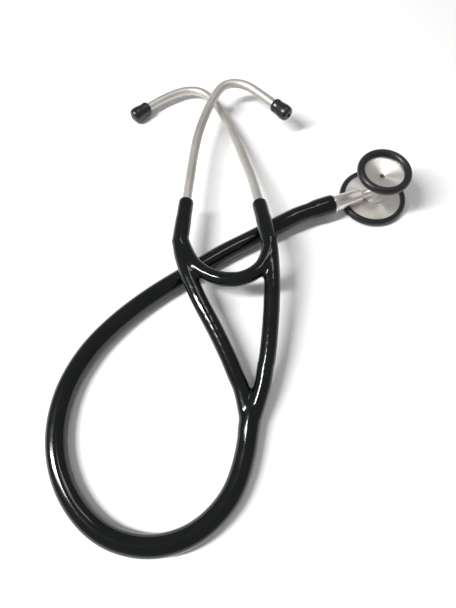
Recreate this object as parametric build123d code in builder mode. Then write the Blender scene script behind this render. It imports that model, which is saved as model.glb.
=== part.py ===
from build123d import *

import os
from math import cos, pi, radians, sin, tan

# A dual-head stethoscope lying on a table, all in millimetres. +Z is up, the table is
# z = 0, +X runs from the ear tips' side of the loop to the chestpiece, and +Y from the
# loop to the ear tubes. The origin is under the middle of everything but the main tube.

os.makedirs("parts", exist_ok=True)

# ---------------------------------------------------------------- driving dimensions
tube_d = 11.4  # main tube, outside
lumen_d = 4.6  # air passage of the main tube
branch_d = 9.7  # the two moulded tubes below the bridge
branch_lumen_d = 3.2
bridge_d = 8.8  # the U-shaped spring bridge
sleeve_d = 10.1  # sleeve at the bridge
sleeve_mouth_d = 9.5  # sleeve where the ear tube enters
ear_tube_d = 5.9
ear_tube_bore_d = 4.4
ear_tube_grip = 16.0  # length of ear tube inside its sleeve
turning_gap = 0.04  # radial clearance of every turning fit

hub_x, hub_y = 72.9, 31.4  # the chestpiece's own axis
stem_height = 10.0  # of the stem's axis above the table
stem_heading = 20.3  # degrees from +X, pointing from the tube to the chestpiece
socket_mouth = 31.0  # from the hub's axis, along the stem
socket_end = 47.5  # where the socket becomes the plain tube

# The main tube's route: out of the Y, round one loop on the table, under the left
# branch and the right sleeve, and up to the stem.
tube_route = [
    (-13.5, -125.7, 6.2),
    (-15.5, -138.3, 5.7),
    (-23.6, -157.3, 5.7),
    (-41.1, -172.8, 5.7),
    (-64.1, -178.3, 5.7),
    (-88.6, -171.8, 5.7),
    (-107.6, -152.8, 5.7),
    (-117.1, -128.3, 5.7),
    (-116.1, -101.8, 5.7),
    (-105.6, -77.8, 5.7),
    (-89.1, -58.3, 5.7),
    (-69.1, -41.3, 5.7),
    (-47.6, -26.8, 5.7),
    (-26.6, -12.5, 5.7),
    (-7.1, -1.8, 5.7),
    (15.4, 9.3, 9.7),
]

# Each side of the headset: the moulded branch from the Y to the bridge, the straight
# sleeve, and the bends of the ear tube past its sleeve, up to the ear tip.
trunk_length = 6.5  # of the Y, from the main tube to where it forks
sides = {
    "left": {
        "branch": [
            (-20, -91.8, 10.2),
            (-23.3, -83.3, 11.4),
            (-31.3, -66.7, 13.7),
            (-40.3, -50.3, 15.9),
            (-44, -42, 16.8),
        ],
        "sleeve_base": (-52.7, -9.3, 19),
        "sleeve_mouth": (-50.1, 17.5, 18.9),
        "ear_tube_bends": [
            (-46.9, 51.2, 18.8),
            (-44.5, 69.9, 18.7),
            (-39.8, 88, 18.7),
            (-31.6, 110.2, 18.6),
            (-24.2, 117.3, 18.5),
            (-12.6, 116.6, 18.5),
            (-2, 107.9, 18.4),
            (7.9, 97.7, 18.3),
        ],
    },
    "right": {
        "branch": [
            (-3.6, -90, 12.7),
            (-1.7, -80.1, 14.8),
            (0.3, -60.1, 18.1),
            (0.9, -50, 19.8),
        ],
        "sleeve_base": (-0.2, -10.8, 23.3),
        "sleeve_mouth": (-4.7, 15.7, 19.5),
        "ear_tube_bends": [
            (-13.1, 53.2, 13.4),
            (-17.8, 72.5, 10.6),
            (-24.6, 90.7, 8.4),
            (-32.5, 109.9, 7),
            (-45.4, 125.1, 6.2),
            (-66.6, 120.7, 6),
            (-82, 107.8, 5.5),
        ],
    },
}
bridge_route = [
    (-51.6, -12.3, 18.9),
    (-47.6, -24.3, 18.9),
    (-37.6, -34.3, 19.6),
    (-23.1, -40.3, 21.2),
    (-9.6, -36.8, 22.9),
    (-1.1, -27.8, 23.8),
    (0.9, -15.3, 24.1),
]


# ------------------------------------------------------------------------- helpers
def corner_radii(points):
    """The radius at each corner that takes up 0.45 of the shorter run beside it."""
    corners = [Vector(*p) for p in points]
    radii = []
    for before, here, after in zip(corners, corners[1:], corners[2:]):
        run_in = here - before
        run_out = after - here
        half_turn = radians(run_in.get_angle(run_out)) / 2
        radii.append(0.45 * min(run_in.length, run_out.length) / tan(half_turn))
    return radii


def pipe(points, outer_d, inner_d=0.0, mode=Mode.ADD):
    """A round pipe along straight runs joined by tangent arcs, added to the open part."""
    with BuildLine() as path:
        if len(points) > 2:
            FilletPolyline(*points, radius=corner_radii(points))
        else:
            Line(*points)
    wire = path.wire()
    with BuildSketch(Plane(origin=wire @ 0, z_dir=wire % 0)) as section:
        Circle(outer_d / 2)
        if inner_d:
            Circle(inner_d / 2, mode=Mode.SUBTRACT)
    sweep(sections=section.sketch, path=wire, mode=mode)
    return wire.length


def finish(piece, name):
    """Labels a finished piece and writes it."""
    piece.part.label = name
    export_step(piece.part, f"parts/{name}.step")


# ------------------------------------------------------------------------ main tube
heading = radians(stem_heading)
stem_dir = Vector(-cos(heading), -sin(heading), 0)  # from the hub towards the tube
hub = Vector(hub_x, hub_y, 0)
stem_axis_point = Vector(hub_x, hub_y, stem_height)
tube_end = stem_axis_point + stem_dir * socket_end
tube_route.append(tuple(tube_end + stem_dir * 6.5))
tube_route.append(tuple(tube_end))

with BuildPart() as main_tube:
    tube_length = pipe(tube_route, tube_d, lumen_d)
finish(main_tube, "main_tube")
ring_area = pi / 4 * (tube_d**2 - lumen_d**2)
print("main tube length", round(tube_length, 1), "radii", [round(r) for r in corner_radii(tube_route)])
print("volume over section times length", round(main_tube.part.volume / (ring_area * tube_length), 4))

# ------------------------------------------------- Y junction, where the branches meet
fork_in = (Vector(*tube_route[0]) - Vector(*tube_route[1])).normalized()
fork_at = Vector(*tube_route[0]) + fork_in * trunk_length
with BuildPart() as y_junction:
    pipe([tube_route[0], tuple(fork_at)], tube_d)
    with Locations(fork_at):
        Sphere(tube_d / 2 + 0.2)
    for side in sides.values():
        branch_start = Vector(*side["branch"][0])
        lead = (branch_start - Vector(*side["branch"][1])).normalized() * 9
        side["stub"] = [tuple(fork_at), tuple(branch_start + lead), tuple(branch_start)]
        pipe(side["stub"], branch_d)
    pipe([tube_route[0], tuple(fork_at)], lumen_d, mode=Mode.SUBTRACT)
    for side in sides.values():
        pipe(side["stub"], branch_lumen_d, mode=Mode.SUBTRACT)
finish(y_junction, "y_junction")

# --------------------------------------------------------------------- the branches
for name, side in sides.items():
    with BuildPart() as branch:
        pipe(side["branch"], branch_d, branch_lumen_d)
    finish(branch, f"{name}_branch")

# ------------------------------------------- leaf spring, a strip bent inside the U
leaf_route = list(bridge_route)
leaf_route[0] = tuple((Vector(*bridge_route[0]) + Vector(*bridge_route[1])) / 2)
leaf_route[-1] = tuple((Vector(*bridge_route[-1]) + Vector(*bridge_route[-2])) / 2)
leaf_thickness = 0.8
leaf_height = 5.0

with BuildPart() as leaf_spring:
    with BuildLine() as leaf_path:
        FilletPolyline(*leaf_route, radius=corner_radii(leaf_route))
    leaf_wire = leaf_path.wire()
    along = leaf_wire % 0
    across = along.cross(Vector(0, 0, 1))
    with BuildSketch(Plane(origin=leaf_wire @ 0, x_dir=across, z_dir=along)) as leaf_section:
        Rectangle(leaf_thickness, leaf_height)
    sweep(sections=leaf_section.sketch, path=leaf_wire)
finish(leaf_spring, "leaf_spring")

# ------------------------------ spring bridge: the U and the two shoulders it joins
with BuildPart() as spring_bridge:
    pipe(bridge_route, bridge_d)
    for side in sides.values():
        sleeve_back = Vector(*side["sleeve_base"]) - Vector(*side["sleeve_mouth"])
        elbow = Vector(*side["sleeve_base"]) + sleeve_back.normalized() * 6
        branch_end = Vector(*side["branch"][-1])
        lead = (branch_end - Vector(*side["branch"][-2])).normalized() * 10.5
        bend = branch_end + lead
        side["shoulder"] = [side["branch"][-1], tuple(bend), tuple(elbow), side["sleeve_base"]]
        pipe(side["shoulder"], sleeve_d)
    for side in sides.values():
        pipe(side["shoulder"], branch_lumen_d, mode=Mode.SUBTRACT)
    add(leaf_spring.part, mode=Mode.SUBTRACT)
finish(spring_bridge, "spring_bridge")

# ------------------------------------------------------------------ sleeves, ear tubes
sleeve_step = 14.0  # from the sleeve's base to where it narrows
tip_profile = [(0.6, 4.2), (2.4, 4.8), (4.2, 4.6), (6.4, 4.9), (9.6, 5.2), (12.2, 4.9)]
tip_length = 14.2
tip_recess = 1.6  # how far the ear tube goes into its ear tip
insert_flange_d = 5.6
insert_stud_d = 4.4
insert_bore_d = 2.6
stud_in_tube = 6.0
stud_in_tip = 6.0

for name, side in sides.items():
    base = Vector(*side["sleeve_base"])
    mouth = Vector(*side["sleeve_mouth"])
    axis = (mouth - base).normalized()
    length = (mouth - base).length
    grip_start = length - ear_tube_grip

    # the sleeve, drawn along its own axis: local x is the way along, local y the radius
    flat = Vector(axis.X, axis.Y, 0).normalized()
    upward = flat.cross(Vector(0, 0, 1)).cross(axis).normalized() * -1
    lengthwise = Plane(origin=base, x_dir=axis, z_dir=axis.cross(upward))
    with BuildPart() as sleeve:
        with BuildSketch(lengthwise):
            with BuildLine():
                Polyline(
                    (0, branch_lumen_d / 2),
                    (0, sleeve_d / 2),
                    (sleeve_step, sleeve_d / 2 - 0.05),
                    (sleeve_step + 1.2, sleeve_mouth_d / 2 + 0.05),
                    (length - 1.2, sleeve_mouth_d / 2),
                    (length - 0.35, sleeve_mouth_d / 2 - 0.35),
                    (length, sleeve_mouth_d / 2 - 1.2),
                    (length, ear_tube_d / 2 + turning_gap),
                    (grip_start - 0.1, ear_tube_d / 2 + turning_gap),
                    (grip_start - 0.1, branch_lumen_d / 2),
                    close=True,
                )
            make_face()
        revolve(axis=Axis(base, axis))
    finish(sleeve, f"{name}_sleeve")

    # the ear tube: straight where it turns in the sleeve, then bent to the ear
    bends = side["ear_tube_bends"]
    last_run = Vector(*bends[-1]) - Vector(*bends[-2])
    tip_dir = last_run.normalized()
    tube_tip = Vector(*bends[-1]) + tip_dir * tip_recess
    ear_route = [tuple(base + axis * grip_start), tuple(mouth + axis * 18)] + bends[:-1] + [tuple(tube_tip)]
    with BuildPart() as ear_tube:
        ear_length = pipe(ear_route, ear_tube_d, ear_tube_bore_d)
    finish(ear_tube, f"{name}_ear_tube")
    print(name, "ear tube length", round(ear_length, 1))

    # the insert and the ear tip, drawn along the tube's end
    tip_up = tip_dir.cross(Vector(0, 0, 1)).cross(tip_dir).normalized()
    tip_plane = Plane(origin=tube_tip, x_dir=tip_dir, z_dir=tip_dir.cross(tip_up))
    with BuildPart() as tip_insert:
        with BuildSketch(tip_plane):
            with BuildLine():
                Polyline(
                    (-stud_in_tube, insert_bore_d / 2),
                    (-stud_in_tube, ear_tube_bore_d / 2),
                    (0, ear_tube_bore_d / 2),
                    (0, insert_flange_d / 2),
                    (0.8, insert_flange_d / 2),
                    (0.8, insert_stud_d / 2),
                    (0.8 + stud_in_tip, insert_stud_d / 2),
                    (0.8 + stud_in_tip, insert_bore_d / 2),
                    close=True,
                )
            make_face()
        revolve(axis=Axis(tube_tip, tip_dir))
    finish(tip_insert, f"{name}_tip_insert")

    near = -tip_recess
    with BuildPart() as ear_tip:
        with BuildSketch(tip_plane):
            with BuildLine():
                Line((near, ear_tube_d / 2), (near, tip_profile[0][1] - 0.6))
                Line((near, tip_profile[0][1] - 0.6), (near + tip_profile[0][0], tip_profile[0][1]))
                Spline(
                    *[(near + x, r) for x, r in tip_profile],
                    (near + tip_length - 0.4, 3.6),
                    tangents=[(1, 0.5), (0.6, -1)],
                )
                Polyline(
                    (near + tip_length - 0.4, 3.6),
                    (near + tip_length, 2.7),
                    (near + tip_length, 1.3),
                    (0.8 + stud_in_tip, 1.3),
                    (0.8 + stud_in_tip, insert_stud_d / 2),
                    (0.8, insert_stud_d / 2),
                    (0.8, insert_flange_d / 2),
                    (0, insert_flange_d / 2),
                    (0, ear_tube_d / 2),
                    (near, ear_tube_d / 2),
                )
            make_face()
        revolve(axis=Axis(tube_tip, tip_dir))
    finish(ear_tip, f"{name}_ear_tip")

# ----------------------------------------------------------- stem, drawn from the side
# In this plane local x is the way from the hub's axis towards the tube, local y height.
side_view = Plane(origin=hub, x_dir=stem_dir, z_dir=stem_dir.cross(Vector(0, 0, 1)))
hub_axis = Axis(hub, Vector(0, 0, 1))
stem_axis = Axis(stem_axis_point, stem_dir)
sideways = stem_dir.cross(Vector(0, 0, 1))
detent_at = -2.4
detent_bore_r = 1.0
neck_r = 3.0
neck_inner_end = -3.8
shoulder_at = 11.2
stem_lumen_r = 1.5
screw_groove = (1.7, 3.3)
seal_at = 4.4
seal_wire_r = 0.5
stem_outline = [
    (neck_inner_end, neck_r),
    (screw_groove[0], neck_r),
    (screw_groove[0], neck_r - 0.6),
    (screw_groove[1], neck_r - 0.6),
    (screw_groove[1], neck_r),
    (seal_at - 0.5, neck_r),
    (seal_at - 0.5, neck_r - 0.98),
    (seal_at + 0.5, neck_r - 0.98),
    (seal_at + 0.5, neck_r),
    (shoulder_at - 0.6, neck_r),
    (shoulder_at, neck_r + 0.6),
    (shoulder_at, 3.9),
    (shoulder_at + 0.4, 4.3),
    (socket_mouth - 1.9, 5.2),
    (socket_mouth - 1.4, 5.6),
    (socket_mouth, 5.6),
]
barb_pitch = 4.0
for barb in range(3):
    start = socket_mouth + 1.5 + barb * barb_pitch
    stem_outline += [(start - (1.5 if barb == 0 else 0), 3.3), (start, 3.3), (start, 4.0), (start + barb_pitch, 3.3)]
stem_end = socket_mouth + 1.5 + 3 * barb_pitch
clean_outline = [p for p, q in zip(stem_outline, stem_outline[1:] + [(None, None)]) if p != q]

with BuildPart() as stem:
    with BuildSketch(side_view):
        with BuildLine():
            Polyline(
                *[(x, stem_height + r) for x, r in clean_outline],
                (stem_end, stem_height),
                (neck_inner_end, stem_height),
                close=True,
            )
        make_face()
    revolve(axis=stem_axis)
    # air passage from the tube's end to the port under the hub's axis
    with BuildSketch(Plane(origin=stem_axis_point + stem_dir * -0.6, z_dir=stem_dir)):
        Circle(stem_lumen_r)
    extrude(amount=stem_end + 1, mode=Mode.SUBTRACT)
    with BuildSketch(Plane(origin=stem_axis_point, z_dir=(0, 0, -1))):
        Circle(1.1)
    extrude(amount=neck_r + 1, mode=Mode.SUBTRACT)
    # cross bore for the detent
    with BuildSketch(Plane(origin=stem_axis_point + stem_dir * detent_at - sideways * 2, z_dir=sideways)):
        Circle(detent_bore_r)
    extrude(amount=6, mode=Mode.SUBTRACT)
finish(stem, "stem")

with BuildPart() as stem_seal:
    with BuildSketch(side_view):
        with Locations((seal_at, stem_height + neck_r - 0.98 + seal_wire_r)):
            Circle(seal_wire_r)
    revolve(axis=stem_axis)
finish(stem_seal, "stem_seal")

ball_r = 0.96
ball_centre = stem_axis_point + stem_dir * detent_at + sideways * (neck_r - ball_r)
with BuildPart() as detent_ball:
    with Locations(ball_centre):
        Sphere(ball_r)
finish(detent_ball, "detent_ball")

spring_start = stem_axis_point + stem_dir * detent_at - sideways * 1.7
spring_wire_r = 0.27
with BuildPart() as detent_spring:
    with BuildLine() as coil:
        Helix(pitch=0.8, height=2.5, radius=0.68, center=spring_start, direction=sideways)
    coil_wire = coil.wire()
    with BuildSketch(Plane(origin=coil_wire @ 0, z_dir=coil_wire % 0)) as wire_section:
        Circle(spring_wire_r)
    sweep(sections=wire_section.sketch, path=coil_wire, is_frenet=True)
finish(detent_spring, "detent_spring")

# the thick moulded end of the tube, stretched over the stem's barbs
with BuildPart() as tube_socket:
    with BuildSketch(side_view):
        with BuildLine():
            Polyline(
                (socket_mouth, stem_height),
                (socket_mouth, stem_height + 5.7),
                (socket_mouth + 0.4, stem_height + 6.2),
                (socket_mouth + 1.4, stem_height + 6.45),
                (socket_end - 5, stem_height + 6.35),
                (socket_end - 2.5, stem_height + 5.95),
                (socket_end, stem_height + tube_d / 2),
                (socket_end, stem_height),
                close=True,
            )
        make_face()
    revolve(axis=stem_axis)
    add(stem.part, mode=Mode.SUBTRACT)
    with BuildSketch(Plane(origin=stem_axis_point + stem_dir * (socket_mouth - 1), z_dir=stem_dir)):
        Circle(lumen_d / 2)
    extrude(amount=socket_end, mode=Mode.SUBTRACT)
finish(tube_socket, "tube_socket")

# ------------------------------------------------------------------------ chestpiece
hub_r = 5.4
seat_height = 5.2  # where the bell body sits on the housing
spigot_r = 3.5
cup_floor = 24.9
with BuildPart() as bell_body:
    with BuildSketch(side_view):
        with BuildLine():
            Polyline(
                (0, 3.0),
                (spigot_r, 3.0),
                (spigot_r, seat_height),
                (6.2, seat_height),
                (6.2, 5.7),
                (7.2, 5.7),
                (7.2, 6.5),
                (6.9, 6.9),
                (5.9, 7.0),
                (hub_r, 7.5),
                (hub_r, 16.8),
            )
            ThreePointArc((hub_r, 16.8), (6.3, 20.0), (8.4, 22.4))
            Polyline(
                (8.4, 22.4),
                (13.3, 26.2),
                (14.9, 27.3),
                (14.9, 28.1),
                (13.2, 28.1),
                (12.1, 27.5),
                (1.6, cup_floor),
                (0, cup_floor),
                (0, 3.0),
            )
        make_face()
    revolve(axis=hub_axis)
    # ports up to the cup and down to the diaphragm
    with BuildSketch(Plane(origin=stem_axis_point, z_dir=(0, 0, 1))):
        Circle(1.55)
    extrude(amount=cup_floor, mode=Mode.SUBTRACT)
    with BuildSketch(Plane(origin=stem_axis_point, z_dir=(0, 0, -1))):
        Circle(1.2)
    extrude(amount=stem_height, mode=Mode.SUBTRACT)
    # blind bore for the stem's neck
    with BuildSketch(Plane(origin=stem_axis_point + stem_dir * (neck_inner_end - 0.2), z_dir=stem_dir)):
        Circle(neck_r + turning_gap)
    extrude(amount=12, mode=Mode.SUBTRACT)
    # tapped hole for the grub screw
    screw_at = (screw_groove[0] + screw_groove[1]) / 2
    screw_r = 0.7
    screw_centre = stem_axis_point + stem_dir * screw_at
    with BuildSketch(Plane(origin=screw_centre, z_dir=sideways)):
        Circle(screw_r)
    extrude(amount=8, mode=Mode.SUBTRACT)
finish(bell_body, "bell_body")

with BuildPart() as grub_screw:
    with BuildSketch(Plane(origin=screw_centre + sideways * (neck_r - 0.5), z_dir=sideways)):
        Circle(screw_r)
    extrude(amount=2.2)
    with BuildSketch(Plane(origin=screw_centre + sideways * (neck_r + 0.9), z_dir=sideways)):
        RegularPolygon(0.4, 6)
    extrude(amount=2, mode=Mode.SUBTRACT)
finish(grub_screw, "grub_screw")

with BuildPart() as bell_rim:
    with BuildSketch(side_view):
        with Locations((14.5, 28.9)):
            Ellipse(2.4, 2.6)
    revolve(axis=hub_axis)
    add(bell_body.part, mode=Mode.SUBTRACT)
finish(bell_rim, "bell_rim")

diaphragm_top = 1.0
diaphragm_r = 19.4
housing_r = 19.6
with BuildPart() as diaphragm_housing:
    with BuildSketch(side_view):
        with BuildLine():
            Polyline(
                (spigot_r, 2.5),
                (17.9, diaphragm_top),
                (housing_r, diaphragm_top),
                (housing_r, 3.2),
                (housing_r - 0.3, 3.5),
                (8.0, 5.05),
                (7.6, seat_height),
                (spigot_r, seat_height),
                close=True,
            )
        make_face()
    revolve(axis=hub_axis)
finish(diaphragm_housing, "diaphragm_housing")

with BuildPart() as diaphragm:
    with BuildSketch(Plane(origin=(hub_x, hub_y, diaphragm_top - 0.4))):
        Circle(diaphragm_r)
    extrude(amount=0.4)
finish(diaphragm, "diaphragm")

rim_r = 21.9
with BuildPart() as diaphragm_rim:
    with BuildSketch(side_view):
        with BuildLine():
            Polyline((18.7, 4.7), (18.3, 4.3), (18.3, 0.3), (18.6, 0), (20.4, 0))
            ThreePointArc((20.4, 0), (rim_r, 2.3), (20.2, 4.7))
            Line((20.2, 4.7), (18.7, 4.7))
        make_face()
    revolve(axis=hub_axis)
    add(diaphragm_housing.part, mode=Mode.SUBTRACT)
    add(diaphragm.part, mode=Mode.SUBTRACT)
finish(diaphragm_rim, "diaphragm_rim")
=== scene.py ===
import math

import bpy
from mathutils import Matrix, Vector


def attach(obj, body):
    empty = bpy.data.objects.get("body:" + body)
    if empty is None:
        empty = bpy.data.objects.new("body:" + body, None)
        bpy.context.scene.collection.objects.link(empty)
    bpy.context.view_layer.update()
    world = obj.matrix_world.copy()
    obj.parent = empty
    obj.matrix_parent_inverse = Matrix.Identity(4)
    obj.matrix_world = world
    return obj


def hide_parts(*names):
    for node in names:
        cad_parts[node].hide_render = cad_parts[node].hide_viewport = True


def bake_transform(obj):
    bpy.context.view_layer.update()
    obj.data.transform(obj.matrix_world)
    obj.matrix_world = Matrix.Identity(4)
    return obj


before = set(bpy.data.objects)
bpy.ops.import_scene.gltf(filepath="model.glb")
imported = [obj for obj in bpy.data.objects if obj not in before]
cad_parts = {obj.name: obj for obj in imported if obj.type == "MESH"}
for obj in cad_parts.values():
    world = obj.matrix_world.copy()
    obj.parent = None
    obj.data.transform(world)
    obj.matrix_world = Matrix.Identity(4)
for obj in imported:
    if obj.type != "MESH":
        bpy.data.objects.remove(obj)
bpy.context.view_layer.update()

MM = 0.001

# ---------------------------------------------------------------------------
# Main tube. One length of thick-walled black tubing, dipped and glossy, that
# leaves the fork of the headset, lies in one loop on the table and runs up to
# the chestpiece's stem.

TUBE_D = 11.4 * MM
TUBE_ROUTE = [
    (-13.5, -125.7, 6.2),
    (-15.5, -138.3, 5.7),
    (-23.6, -157.3, 5.7),
    (-41.1, -172.8, 5.7),
    (-64.1, -178.3, 5.7),
    (-88.6, -171.8, 5.7),
    (-107.6, -152.8, 5.7),
    (-117.1, -128.3, 5.7),
    (-116.1, -101.8, 5.7),
    (-105.6, -77.8, 5.7),
    (-89.1, -58.3, 5.7),
    (-69.1, -41.3, 5.7),
    (-47.6, -26.8, 5.7),
    (-26.6, -12.5, 5.7),
    (-7.1, -1.8, 5.7),
    (15.4, 9.3, 9.7),
    (22.25, 12.66, 10),
    (28.35, 14.92, 10),
]
HUB = Vector((72.9, 31.4, 0)) * MM
STEM_HEIGHT = 10 * MM
STEM_HEADING = math.radians(20.3)
STEM_OUT = Vector((-math.cos(STEM_HEADING), -math.sin(STEM_HEADING), 0))


def curved_tube(name, route_mm, diameter, rings=48):
    """A round tube on a smooth line steered by the route's points; a fourth value swells it."""
    line = bpy.data.curves.new(name, "CURVE")
    line.dimensions = "3D"
    line.resolution_u = 16
    line.bevel_depth = diameter / 2
    line.bevel_resolution = rings // 4 - 1
    line.use_fill_caps = True
    spline = line.splines.new("NURBS")
    spline.points.add(len(route_mm) - 1)
    for point, place in zip(spline.points, route_mm):
        point.co = (*(value * MM for value in place[:3]), 1)
        point.radius = place[3] if len(place) > 3 else 1
    spline.order_u = 3
    spline.use_endpoint_u = True
    piece = bpy.data.objects.new(name, line)
    bpy.context.collection.objects.link(piece)
    return piece


class Finish:
    """A node material for one of the stethoscope's finishes."""

    def __init__(self, name, **sockets):
        self.material = bpy.data.materials.new(name)
        self.material.use_nodes = True
        self.tree = self.material.node_tree
        self.shader = self.tree.nodes["Principled BSDF"]
        for socket, value in sockets.items():
            self.shader.inputs[socket.replace("_", " ")].default_value = value
        self.place = self.node("ShaderNodeTexCoord").outputs["Object"]

    def node(self, kind, **values):
        made = self.tree.nodes.new(kind)
        for key, value in values.items():
            if hasattr(made, key):
                setattr(made, key, value)
            else:
                made.inputs[key.replace("_", " ")].default_value = value
        return made

    def join(self, source, target):
        self.tree.links.new(source, target)

    def noise(self, scale, detail=4, place=None):
        cloud = self.node("ShaderNodeTexNoise", Scale=scale, Detail=detail)
        self.join(place or self.place, cloud.inputs["Vector"])
        return cloud.outputs["Fac"]

    def ramp(self, source, low, high, start=0.3, end=0.7):
        spread = self.node("ShaderNodeMapRange")
        limits = {"From Min": start, "From Max": end, "To Min": low, "To Max": high}
        for key, value in limits.items():
            spread.inputs[key].default_value = value
        self.join(source, spread.inputs["Value"])
        return spread.outputs["Result"]

    def tint(self, source, dark, light, start=0.3, end=0.7):
        colours = self.node("ShaderNodeValToRGB")
        colours.color_ramp.elements[0].position = start
        colours.color_ramp.elements[1].position = end
        colours.color_ramp.elements[0].color = (*dark, 1)
        colours.color_ramp.elements[1].color = (*light, 1)
        self.join(source, colours.inputs["Fac"])
        return colours.outputs["Color"]

    def colour(self, source):
        self.join(source, self.shader.inputs["Base Color"])

    def roughness(self, source):
        self.join(source, self.shader.inputs["Roughness"])

    def bump(self, source, depth, strength=1.0):
        relief = self.node("ShaderNodeBump", Strength=strength, Distance=depth)
        self.join(source, relief.inputs["Height"])
        if self.shader.inputs["Normal"].links:
            before = self.shader.inputs["Normal"].links[0].from_socket
            self.join(before, relief.inputs["Normal"])
        self.join(relief.outputs["Normal"], self.shader.inputs["Normal"])


def dress(piece, finish):
    """Gives a piece one finish in place of whatever it had."""
    piece.data.materials.clear()
    piece.data.materials.append(finish.material)


tubing = Finish("tubing", Specular_IOR_Level=0.28, Coat_Weight=0.18, Coat_Roughness=0.06)
tubing.colour(tubing.tint(tubing.noise(40), (0.0009, 0.0017, 0.0021), (0.0022, 0.0034, 0.0039)))
tubing.roughness(tubing.ramp(tubing.noise(160, 6), 0.1, 0.15))
tubing.bump(tubing.noise(1100, 3), 0.00001, 0.08)

main_tube = curved_tube("main_tube_tubing", TUBE_ROUTE, TUBE_D)
dress(main_tube, tubing)
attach(main_tube, "yoke_and_tube")
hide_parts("main_tube")

# ---------------------------------------------------------------------------
# Yoke. The same black compound moulded in one with the tube: the fork, its two
# branches, and the U over the steel spring that draws the ear tubes together.
# Each half ends in the sleeve that its ear tube is pushed into.

BRANCH_D = 9.7 * MM
BRIDGE_D = 8.9 * MM
FORK = [
    (-14.5, -131.8, 6, 1),
    (-13.5, -125.7, 6.2, 1.01),
    (-12.9, -120.4, 6.4, 1.07),
    (-11.8, -113.5, 7.2, 1.06),
    (-10.9, -107.5, 8.2, 0.9),
    (-10.3, -102, 9.2, 0.6),
]
LEFT_BRANCH = [
    (-12.6, -120, 6.4),
    (-15.3, -101.5, 8.5),
    (-20, -91.8, 10.2),
    (-23.3, -83.3, 11.4),
    (-31.3, -66.7, 13.7),
    (-40.3, -50.3, 15.9),
    (-44, -42, 16.8),
    (-48.3, -32.4, 17.9),
    (-53.3, -15.3, 19),
    (-52.7, -9.3, 19),
]
RIGHT_BRANCH = [
    (-12.4, -120, 6.4),
    (-5.6, -100.5, 10.7),
    (-3.6, -90, 12.7),
    (-1.7, -80.1, 14.8),
    (0.3, -60.1, 18.1),
    (0.9, -50, 19.8),
    (1.5, -39.5, 21.5),
    (0.8, -16.7, 24.1),
    (-0.2, -10.8, 23.3),
]
BRIDGE = [
    (-51.6, -12.3, 18.9),
    (-47.6, -24.3, 18.9),
    (-37.6, -34.3, 19.6),
    (-23.1, -40.3, 21.2),
    (-9.6, -36.8, 22.9),
    (-1.1, -27.8, 23.8),
    (0.9, -15.3, 24.1),
]
SLEEVES = {
    "left": (Vector((-52.7, -9.3, 19)) * MM, Vector((-50.1, 17.5, 18.9)) * MM),
    "right": (Vector((-0.2, -10.8, 23.3)) * MM, Vector((-4.7, 15.7, 19.5)) * MM),
}
SLEEVE_R = 5.05
SLEEVE_MOUTH_R = 4.78
SLEEVE_ROOT = -5

# Where the moulding is cut in two: each cut's place, the way the line runs there, and
# the radius of the ball of faces it touches, which reaches a little back over the cut.
BRIDGE_MIDDLE = Vector((-23.1, -38.4, 21.1)) * MM
BRIDGE_ALONG = Vector((1, 0.04, 0.115)).normalized()
BRANCH_CUT = Vector((-3.2, -86.5, 13.4)) * MM
BRANCH_ALONG = Vector((0.19, 0.96, 0.2)).normalized()
CUTS = [
    (BRIDGE_MIDDLE, BRIDGE_ALONG, 14 * MM),
    (BRANCH_CUT, BRANCH_ALONG, 9 * MM),
]
CUT_OVERLAP = 3 * MM

# Points beyond the branch's cut, to which each half runs on before it is trimmed.
PAST_CUT_LEFT = (-2.2, -80.3, 14.65)
PAST_CUT_RIGHT = (-4.6, -95.3, 11.7)
MOULDING_GRAIN = 0.65 * MM
WEB_PASSES = 22


def only(*pieces):
    """Leaves just these pieces selected, the first one active."""
    bpy.ops.object.select_all(action="DESELECT")
    for piece in pieces:
        piece.select_set(True)
    bpy.context.view_layer.objects.active = pieces[0]


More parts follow.
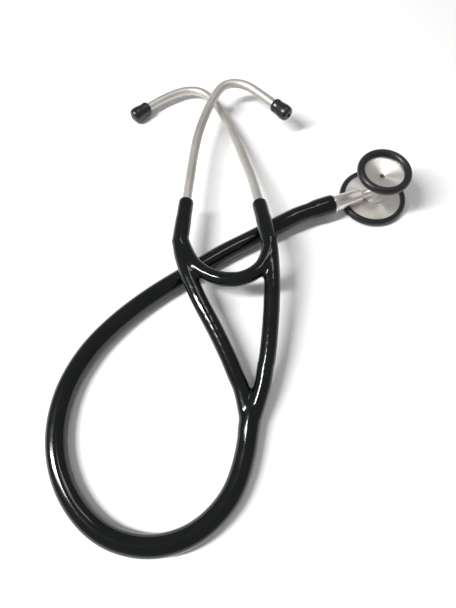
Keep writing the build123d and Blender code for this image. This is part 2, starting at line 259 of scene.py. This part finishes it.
def turned(name, profile_mm, foot=(0, 0, 0), axis=(0, 0, 1), steps=96, edge_mm=0.0, rounds=0):
    """A turned piece. The profile is (radius, height) pairs up one side, spun about the axis."""
    bpy.ops.object.select_all(action="DESELECT")
    bpy.ops.mesh.primitive_plane_add(size=0.001)
    piece = bpy.context.object
    piece.name = name
    piece.data.name = name
    bpy.ops.object.mode_set(mode="EDIT")
    bpy.ops.mesh.select_mode(type="VERT")
    bpy.ops.mesh.select_all(action="SELECT")
    bpy.ops.mesh.merge(type="CENTER")
    radius, height = profile_mm[0]
    bpy.ops.transform.translate(value=(radius * MM, 0, height * MM))
    for (r0, h0), (r1, h1) in zip(profile_mm, profile_mm[1:]):
        bpy.ops.mesh.extrude_region_move(
            TRANSFORM_OT_translate={"value": ((r1 - r0) * MM, 0, (h1 - h0) * MM)}
        )
    bpy.ops.mesh.select_all(action="SELECT")
    bpy.ops.mesh.spin(steps=steps, angle=2 * math.pi, center=(0, 0, 0), axis=(0, 0, 1))
    bpy.ops.mesh.select_all(action="SELECT")
    bpy.ops.mesh.remove_doubles(threshold=0.000002)
    bpy.ops.mesh.select_all(action="SELECT")
    bpy.ops.mesh.normals_make_consistent(inside=False)
    bpy.ops.object.mode_set(mode="OBJECT")
    if edge_mm:
        bevel = piece.modifiers.new("edges", "BEVEL")
        bevel.width = edge_mm * MM
        bevel.segments = 3
        bevel.limit_method = "ANGLE"
        bevel.angle_limit = math.radians(28)
        bpy.ops.object.modifier_apply(modifier=bevel.name)
    if rounds:
        smooth = piece.modifiers.new("rounds", "SUBSURF")
        smooth.levels = rounds
        smooth.render_levels = rounds
        bpy.ops.object.modifier_apply(modifier=smooth.name)
    piece.rotation_mode = "QUATERNION"
    piece.rotation_quaternion = Vector(axis).normalized().to_track_quat("Z", "Y")
    piece.location = foot
    bpy.ops.object.transform_apply(location=True, rotation=True, scale=True)
    bpy.ops.object.shade_smooth_by_angle(angle=math.radians(35))
    return piece


def moulded(name, parts):
    """Runs the parts together into one moulding with soft webs where they meet."""
    only(*parts)
    bpy.ops.object.convert(target="MESH")
    only(*parts)
    bpy.ops.object.join()
    piece = bpy.context.object
    piece.name = name
    piece.data.name = name
    remesh = piece.modifiers.new("run together", "REMESH")
    remesh.mode = "VOXEL"
    remesh.voxel_size = MOULDING_GRAIN
    remesh.use_smooth_shade = True
    soften = piece.modifiers.new("webs", "SMOOTH")
    soften.factor = 0.5
    soften.iterations = WEB_PASSES
    only(piece)
    for modifier in list(piece.modifiers):
        bpy.ops.object.modifier_apply(modifier=modifier.name)
    return piece


def trim(piece, near, reach, point, along):
    """Cuts a moulding off square at a point and closes the cut, touching only what is near it."""
    only(piece)
    for edge in piece.data.edges:
        edge.select = False
    for vertex in piece.data.vertices:
        vertex.select = False
    for face in piece.data.polygons:
        face.select = (face.center - near).length < reach
    bpy.ops.object.mode_set(mode="EDIT")
    bpy.ops.mesh.select_mode(type="FACE")
    bpy.ops.mesh.bisect(plane_co=point, plane_no=along, clear_outer=True, use_fill=True)
    bpy.ops.object.mode_set(mode="OBJECT")


def sleeve_skin(name, side):
    """The sleeve's own shape: a full lower part, a small step, a rounded mouth."""
    base, mouth = SLEEVES[side]
    length = (mouth - base).length / MM
    profile = [
        (0, SLEEVE_ROOT),
        (SLEEVE_R, SLEEVE_ROOT),
        (SLEEVE_R, 8),
        (5.0, 12.2),
        (4.8, 15.2),
        (SLEEVE_MOUTH_R, length - 1.4),
        (4.6, length - 0.5),
        (4.1, length),
        (0, length),
    ]
    return turned(name, profile, base, mouth - base, steps=48)


halves = {
    "left": {
        "parts": [
            curved_tube("fork", FORK, TUBE_D),
            curved_tube("left_line", LEFT_BRANCH, BRANCH_D),
            curved_tube("right_root", RIGHT_BRANCH[:3] + [PAST_CUT_LEFT], BRANCH_D),
            curved_tube("left_bow", BRIDGE[:5], BRIDGE_D),
        ],
        "nodes": ["y_junction", "left_branch", "left_sleeve", "spring_bridge", "leaf_spring"],
    },
    "right": {
        "parts": [
            curved_tube("right_line", [PAST_CUT_RIGHT] + RIGHT_BRANCH[2:], BRANCH_D),
            curved_tube("right_bow", BRIDGE[2:], BRIDGE_D),
        ],
        "nodes": ["right_branch", "right_sleeve"],
    },
}
for side, half in halves.items():
    base, mouth = SLEEVES[side]
    parts = half["parts"] + [sleeve_skin(f"{side}_sleeve_skin", side)]
    yoke = moulded(f"yoke_{side}_half", parts)
    outward = 1 if side == "left" else -1
    for cut, along, reach in CUTS:
        away = along * outward
        trim(yoke, cut + away * (reach - CUT_OVERLAP), reach, cut, away)
    dress(yoke, tubing)
    only(yoke)
    bpy.ops.object.shade_smooth_by_angle(angle=math.radians(60))
    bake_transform(yoke)
    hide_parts(*half["nodes"])

# ---------------------------------------------------------------------------
# Ear tubes. Drawn aluminium tube with a satin anodised skin, bent cold towards
# the ear at the far end. Each turns in its sleeve. They cross as they lie.

EAR_TUBE_D = 5.9 * MM
GRIP = 16 * MM
FREE_RUN = 18 * MM
TIP_RECESS = 1.6 * MM
EAR_BENDS = {
    "left": [
        (-46.9, 51.2, 18.8),
        (-44.5, 69.9, 18.7),
        (-39.8, 88, 18.7),
        (-31.6, 110.2, 18.6),
        (-24.2, 117.3, 18.5),
        (-12.6, 116.6, 18.5),
        (-2, 107.9, 18.4),
        (7.9, 97.7, 18.3),
    ],
    "right": [
        (-13.1, 53.2, 13.4),
        (-17.8, 72.5, 10.6),
        (-24.6, 90.7, 8.4),
        (-32.5, 109.9, 7),
        (-45.4, 125.1, 6.2),
        (-66.6, 120.7, 6),
        (-82, 107.8, 5.5),
    ],
}

ear_metal = Finish("ear_tube_satin", Metallic=0.82)
ear_metal.colour(ear_metal.tint(ear_metal.noise(55), (0.5, 0.478, 0.445), (0.59, 0.567, 0.535)))
ear_metal.roughness(ear_metal.ramp(ear_metal.noise(220, 6), 0.4, 0.5))
ear_metal.bump(ear_metal.noise(2500, 2), 0.000008, 0.1)

tips = {}
for side, bends in EAR_BENDS.items():
    base, mouth = SLEEVES[side]
    axis = (mouth - base).normalized()
    inner = mouth - axis * GRIP
    first = mouth + axis * FREE_RUN
    way = (Vector(bends[-1]) - Vector(bends[-2])).normalized()
    end = Vector(bends[-1]) * MM + way * TIP_RECESS
    route = [tuple(inner / MM), tuple(first / MM)] + bends[:-1] + [tuple(end / MM)]
    tube = curved_tube(f"{side}_ear_tube_satin", route, EAR_TUBE_D, rings=40)
    only(tube)
    bpy.ops.object.convert(target="MESH")
    bpy.ops.object.shade_smooth_by_angle(angle=math.radians(40))
    dress(tube, ear_metal)
    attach(tube, f"{side}_earpiece")
    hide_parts(f"{side}_ear_tube")
    tips[side] = (end - way * TIP_RECESS, way)

# ---------------------------------------------------------------------------
# Ear tips. Soft black silicone, moulded, pushed over the metal insert that is
# pressed into the tube's end. The small hole carries the sound.

tip_silicone = Finish(
    "tip_silicone", Specular_IOR_Level=0.5, Coat_Weight=0.15, Coat_Roughness=0.12
)
tip_mottle = tip_silicone.noise(120)
tip_black = tip_silicone.tint(tip_mottle, (0.003, 0.003, 0.004), (0.007, 0.007, 0.0085))
tip_silicone.colour(tip_black)
tip_silicone.roughness(tip_silicone.ramp(tip_silicone.noise(400, 5), 0.24, 0.38))
tip_silicone.bump(tip_silicone.noise(1600, 3), 0.00003, 0.3)
insert_metal = Finish("insert_turned", Metallic=1.0, Roughness=0.3)
insert_grey = insert_metal.tint(insert_metal.noise(300), (0.5, 0.48, 0.45), (0.65, 0.63, 0.6))
insert_metal.colour(insert_grey)

TIP_PROFILE = [
    (0, 2.2),
    (2.9, 2.1),
    (2.95, 0.5),
    (3.05, 0.05),
    (3.5, 0),
    (3.95, 0.15),
    (4.35, 0.7),
    (4.7, 1.6),
    (4.76, 2.6),
    (4.6, 3.7),
    (4.58, 4.5),
    (4.7, 5.7),
    (4.95, 7.4),
    (5.17, 9.2),
    (5.18, 10.8),
    (4.95, 12.3),
    (4.4, 13.4),
    (3.3, 14.0),
    (2.1, 14.18),
    (1.6, 14.12),
    (1.32, 13.85),
    (1.25, 13.2),
    (1.25, 9),
    (0, 8.8),
]
for side, (foot, way) in tips.items():
    tip = turned(f"{side}_ear_tip_silicone", TIP_PROFILE, foot, way, steps=40, rounds=1)
    dress(tip, tip_silicone)
    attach(tip, f"{side}_earpiece")
    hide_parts(f"{side}_ear_tip")
    dress(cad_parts[f"{side}_tip_insert"], insert_metal)

# ---------------------------------------------------------------------------
# Socket. The tube's end, moulded thicker where it is stretched over the barbs
# of the stem.

SOCKET_MOUTH = 31.0
SOCKET_END = 47.5
stem_foot = HUB + Vector((0, 0, STEM_HEIGHT))
socket_profile = [
    (0, SOCKET_MOUTH + 0.4),
    (5.55, SOCKET_MOUTH + 0.4),
    (5.75, SOCKET_MOUTH + 0.05),
    (6.15, SOCKET_MOUTH + 0.3),
    (6.42, SOCKET_MOUTH + 1.3),
    (6.45, SOCKET_MOUTH + 4),
    (6.4, SOCKET_END - 5.2),
    (6.2, SOCKET_END - 3.2),
    (5.85, SOCKET_END - 1.2),
    (5.7, SOCKET_END + 0.3),
    (0, SOCKET_END + 0.3),
]
socket = turned("tube_socket_moulded", socket_profile, stem_foot, STEM_OUT, steps=64)
dress(socket, tubing)
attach(socket, "yoke_and_tube")
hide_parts("tube_socket")

# ---------------------------------------------------------------------------
# Stem. Turned steel, satin, hollow. Its neck turns in the chestpiece, which it
# opens to one side or the other; its barbs hold the tube.

stem_steel = Finish("stem_satin_steel", Metallic=0.92)
stem_steel.colour(stem_steel.tint(stem_steel.noise(80), (0.74, 0.72, 0.68), (0.82, 0.8, 0.77)))
stem_steel.roughness(stem_steel.ramp(stem_steel.noise(120, 3), 0.22, 0.27))
stem_profile = [
    (0, -3.8),
    (3.0, -3.8),
    (3.0, 10.6),
    (3.6, 11.2),
    (3.9, 11.2),
    (4.3, 11.7),
    (4.75, 20),
    (5.2, 29.1),
    (5.55, 29.6),
    (5.6, 30.0),
    (5.6, 30.9),
    (5.4, 31.2),
    (3.4, 31.3),
    (3.4, 44.0),
    (0, 44.0),
]
stem = turned("stem_turned", stem_profile, stem_foot, STEM_OUT, steps=72, edge_mm=0.12)
dress(stem, stem_steel)
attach(stem, "yoke_and_tube")
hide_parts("stem")

small_steel = Finish("small_parts_steel", Metallic=1.0, Roughness=0.28)
small_steel.colour(small_steel.tint(small_steel.noise(400), (0.42, 0.42, 0.42), (0.56, 0.56, 0.56)))
seal_rubber = Finish("seal_rubber", Roughness=0.5)
seal_black = seal_rubber.tint(seal_rubber.noise(500), (0.012, 0.012, 0.012), (0.02, 0.02, 0.02))
seal_rubber.colour(seal_black)
for node in ("detent_ball", "detent_spring", "grub_screw"):
    dress(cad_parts[node], small_steel)
dress(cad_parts["stem_seal"], seal_rubber)

# ---------------------------------------------------------------------------
# Bell body. One piece of turned steel: the hub that takes the stem, and the
# shallow cone of the bell, with the sound hole in its middle.

turned_steel = Finish("chestpiece_turned_steel", Metallic=0.9, Anisotropic=0.8)
about_hub = turned_steel.node("ShaderNodeMapping", vector_type="POINT")
about_hub.inputs["Location"].default_value = (-HUB.x, -HUB.y, 0)
turned_steel.join(turned_steel.place, about_hub.inputs["Vector"])
split = turned_steel.node("ShaderNodeSeparateXYZ")
turned_steel.join(about_hub.outputs["Vector"], split.inputs["Vector"])
flat = turned_steel.node("ShaderNodeCombineXYZ")
turned_steel.join(split.outputs["X"], flat.inputs["X"])
turned_steel.join(split.outputs["Y"], flat.inputs["Y"])
from_axis = turned_steel.node("ShaderNodeVectorMath", operation="LENGTH")
turned_steel.join(flat.outputs["Vector"], from_axis.inputs[0])
ring_place = turned_steel.node("ShaderNodeCombineXYZ")
turned_steel.join(from_axis.outputs["Value"], ring_place.inputs["X"])
turned_steel.join(split.outputs["Z"], ring_place.inputs["Y"])
rings = turned_steel.noise(2600, 5, ring_place.outputs["Vector"])
turned_steel.colour(turned_steel.tint(rings, (0.74, 0.71, 0.665), (0.84, 0.81, 0.77), 0.25, 0.75))
turned_steel.roughness(turned_steel.ramp(rings, 0.3, 0.33))
grain = turned_steel.node("ShaderNodeTangent", direction_type="RADIAL", axis="Z")
turned_steel.join(grain.outputs["Tangent"], turned_steel.shader.inputs["Tangent"])

bell_profile = [
    (0, 5.2),
    (6.2, 5.2),
    (6.2, 5.7),
    (7.2, 5.7),
    (7.2, 6.45),
    (6.9, 6.85),
    (5.9, 7.0),
    (5.4, 7.5),
    (5.4, 16.8),
    (5.5, 18.2),
    (5.85, 19.6),
    (6.6, 20.9),
    (8.4, 22.4),
    (13.3, 26.2),
    (14.9, 27.3),
    (14.9, 28.1),
    (13.2, 28.1),
    (12.1, 27.5),
    (11.9, 27.45),
    (1.95, 25.0),
    (1.75, 24.95),
    (1.5, 24.7),
    (1.45, 16),
    (0, 15.8),
]
bell = turned("bell_body_turned", bell_profile, HUB, steps=128, edge_mm=0.1)
dress(bell, turned_steel)
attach(bell, "chestpiece")
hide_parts("bell_body")

# ---------------------------------------------------------------------------
# Rims. Black rubber rings, moulded and stretched over the edges: a fat round
# one keeps the bell from feeling cold, a flatter one holds the diaphragm.

rim_rubber = Finish(
    "rim_rubber",
    Specular_IOR_Level=0.45,
    Sheen_Weight=0.12,
    Sheen_Roughness=0.4,
    Sheen_Tint=(0.8, 0.75, 0.9, 1),
)
rim_black = rim_rubber.tint(rim_rubber.noise(150), (0.0045, 0.004, 0.0055), (0.009, 0.0085, 0.0105))
rim_rubber.colour(rim_black)
rim_rubber.roughness(rim_rubber.ramp(rim_rubber.noise(500, 6), 0.3, 0.45))
rim_rubber.bump(rim_rubber.noise(1800, 3), 0.00003, 0.35)

RING_CENTRE = (14.5, 28.9)
RING_HALF_SIZE = (2.38, 2.58)
RING_POINTS = 32
bell_ring_profile = []
for step in range(RING_POINTS):
    turn = 2 * math.pi * step / RING_POINTS
    bell_ring_profile.append(
        (
            RING_CENTRE[0] + RING_HALF_SIZE[0] * math.cos(turn),
            RING_CENTRE[1] + RING_HALF_SIZE[1] * math.sin(turn),
        )
    )
bell_ring_profile.append(bell_ring_profile[0])
bell_ring = turned("bell_rim_rubber", bell_ring_profile, HUB, steps=128)
dress(bell_ring, rim_rubber)
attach(bell_ring, "chestpiece")
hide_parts("bell_rim")

clamp_ring_profile = [
    (18.7, 4.65),
    (18.5, 4.3),
    (18.5, 0.35),
    (18.7, 0.08),
    (19.2, 0),
    (20.4, 0),
    (21.2, 0.3),
    (21.7, 1.0),
    (21.9, 2.1),
    (21.85, 3.0),
    (21.5, 3.9),
    (20.9, 4.5),
    (20.2, 4.7),
    (19.2, 4.7),
    (18.7, 4.65),
]
clamp_ring = turned("diaphragm_rim_rubber", clamp_ring_profile, HUB, steps=128, edge_mm=0.08)
dress(clamp_ring, rim_rubber)
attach(clamp_ring, "chestpiece")
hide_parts("diaphragm_rim")

# ---------------------------------------------------------------------------
# Diaphragm side. A turned steel dish that the bell body is pressed into, and a
# stiff pale film held over its open face by the flat rim.

housing_profile = [
    (0, 2.6),
    (3.5, 2.5),
    (17.9, 1.02),
    (19.3, 1.02),
    (19.4, 3.2),
    (19.2, 3.5),
    (19.0, 3.53),
    (8.2, 5.02),
    (8.0, 5.05),
    (7.5, 5.2),
    (0, 5.2),
]
housing = turned("diaphragm_housing_turned", housing_profile, HUB, steps=128, edge_mm=0.06)
dress(housing, turned_steel)
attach(housing, "chestpiece")
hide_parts("diaphragm_housing")

film = Finish(
    "diaphragm_film",
    Roughness=0.34,
    Specular_IOR_Level=0.5,
    Coat_Weight=0.3,
    Coat_Roughness=0.2,
)
weave = film.node("ShaderNodeTexChecker", Scale=900)
film.join(film.place, weave.inputs["Vector"])
film.colour(film.tint(film.noise(700, 5), (0.62, 0.62, 0.6), (0.74, 0.74, 0.71)))
film.bump(weave.outputs["Fac"], 0.00002, 0.15)
diaphragm_profile = [(0, 0.6), (19.0, 0.6), (19.1, 0.7), (19.1, 0.95), (19.0, 1.0), (0, 1.0)]
diaphragm = turned("diaphragm_film", diaphragm_profile, HUB, steps=128)
dress(diaphragm, film)
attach(diaphragm, "chestpiece")
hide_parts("diaphragm")

# ---------------------------------------------------------------------------
# Table, lights and camera. A plain pale top, one long soft key light on the left,
# two slim soft ones side by side beyond the chestpiece, and a pale room.

bpy.ops.object.select_all(action="DESELECT")
bpy.ops.mesh.primitive_plane_add(size=6, location=(0, 0, -0.0002))
table = bpy.context.object
table.name = "table_top"
table_white = Finish("table_white", Roughness=0.7, Specular_IOR_Level=0.2)
table_white.colour(table_white.tint(table_white.noise(3), (0.86, 0.86, 0.86), (0.88, 0.88, 0.88)))
dress(table, table_white)


def soft_light(name, place, aim, size, power, colour=(1, 1, 1)):
    """A rectangular soft light that faces a point."""
    lamp = bpy.data.lights.new(name, "AREA")
    lamp.shape = "RECTANGLE"
    lamp.size, lamp.size_y = size
    lamp.energy = power
    lamp.color = colour
    holder = bpy.data.objects.new(name, lamp)
    holder.location = place
    holder.rotation_euler = (Vector(aim) - Vector(place)).to_track_quat("-Z", "Y").to_euler()
    bpy.context.collection.objects.link(holder)


MIDDLE_OF_ALL = (-0.02, -0.04, 0)
BY_THE_BELL = (0.07, 0.03, 0)
SLIM = (0.08, 0.36)
WARM_WHITE = (1, 0.985, 0.96)
soft_light("key_light", (-0.62, -0.16, 0.8), MIDDLE_OF_ALL, (0.1, 0.5), 13.5)
soft_light("top_light_right", (0.26, 0.29, 1.1), BY_THE_BELL, SLIM, 0.7, WARM_WHITE)
soft_light("top_light_left", (0.14, 0.36, 1.1), BY_THE_BELL, SLIM, 0.7, WARM_WHITE)

room = bpy.data.worlds.new("room")
bpy.context.scene.world = room
room.use_nodes = True
background = room.node_tree.nodes["Background"]
background.inputs["Color"].default_value = (1, 1, 1, 1)
background.inputs["Strength"].default_value = 0.37

eye = Vector((-24.1, -152.0, 258.9)) * MM
aim = Vector((-24.1, -45.3, 0)) * MM
lens = bpy.data.cameras.new("camera")
lens.lens = 27.0
lens.sensor_width = 36.0
lens.clip_start = 0.005
camera = bpy.data.objects.new("camera", lens)
camera.location = eye
camera.rotation_euler = (aim - eye).to_track_quat("-Z", "Y").to_euler()
bpy.context.collection.objects.link(camera)
bpy.context.scene.camera = camera
bpy.context.scene.view_settings.view_transform = "Standard"
